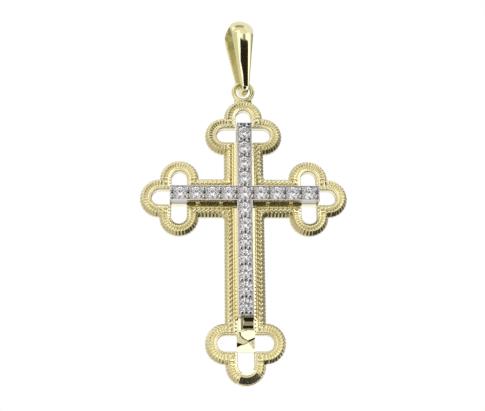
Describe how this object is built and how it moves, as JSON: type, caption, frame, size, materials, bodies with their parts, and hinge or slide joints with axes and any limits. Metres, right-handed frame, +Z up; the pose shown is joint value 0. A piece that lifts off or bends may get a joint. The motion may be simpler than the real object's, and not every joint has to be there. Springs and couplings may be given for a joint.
{
  "type": "orthodox cross pendant with a tapered bail",
  "caption": "Two-tone budded cross pendant with a milled gold border, pierced trefoil ends, a raised stone-set bar cross and a tapered bail on a ring.",
  "frame": {"origin": "the place inside the top of the bail where the chain sits, straight above the wire of the ring", "axes": "+X to the viewer's right, +Y away from the viewer through the pendant's thickness, +Z up; the front faces -Y"},
  "size_m": [0.0256, 0.0046, 0.0466],
  "materials": {
    "polished_gold": "mirror polished yellow gold",
    "milled_gold": "milled and polished yellow gold",
    "white_gold": "rhodium plated white gold",
    "stone": "faceted cubic zirconia"
  },
  "bodies": {
    "bail": {"bail": "polished_gold"},
    "cross": {"cross_frame": "milled_gold", "setting": "white_gold", "stone_01": "stone", "stone_02": "stone", "stone_03": "stone", "stone_04": "stone", "stone_05": "stone", "stone_06": "stone", "stone_07": "stone", "stone_08": "stone", "stone_09": "stone", "stone_10": "stone", "stone_11": "stone", "stone_12": "stone", "stone_13": "stone", "stone_14": "stone", "stone_15": "stone", "stone_16": "stone", "stone_17": "stone", "stone_18": "stone", "stone_19": "stone", "stone_20": "stone"}
  },
  "joints": [
    {"name": "cross_swing", "type": "hinge", "parent": "bail", "child": "cross", "pos_m": [0, 0, -0.00767], "axis": [0.9744, 0.225, 0], "range_deg": [-100, 100]}
  ]
}
